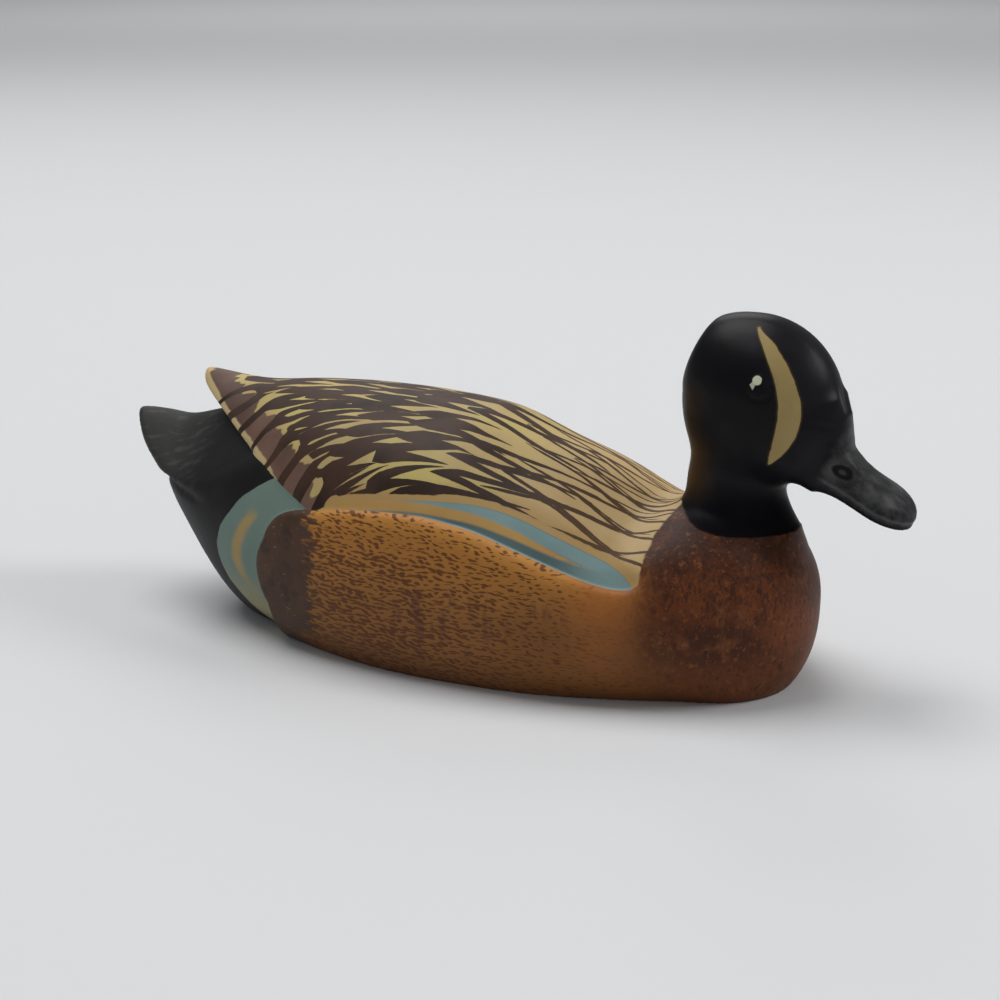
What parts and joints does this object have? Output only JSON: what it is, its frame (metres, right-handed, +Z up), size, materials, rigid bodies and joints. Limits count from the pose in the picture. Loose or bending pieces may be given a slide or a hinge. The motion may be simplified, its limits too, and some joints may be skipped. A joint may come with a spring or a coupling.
{
  "type": "duck figurine",
  "caption": "Small hand-painted drake figurine in one piece with a flat underside: rounded head, folded wings over a raked rump and a short fanned tail.",
  "frame": {"origin": "on the flat underside, at the middle of the figurine's overall length and width", "axes": "+X the way the duck faces, +Y to its left, +Z up from the flat underside"},
  "size_m": [0.1563, 0.057, 0.064],
  "materials": {
    "painted_body": "satin"
  },
  "bodies": {
    "root": {"duck_figurine": "painted_body"}
  },
  "joints": []
}
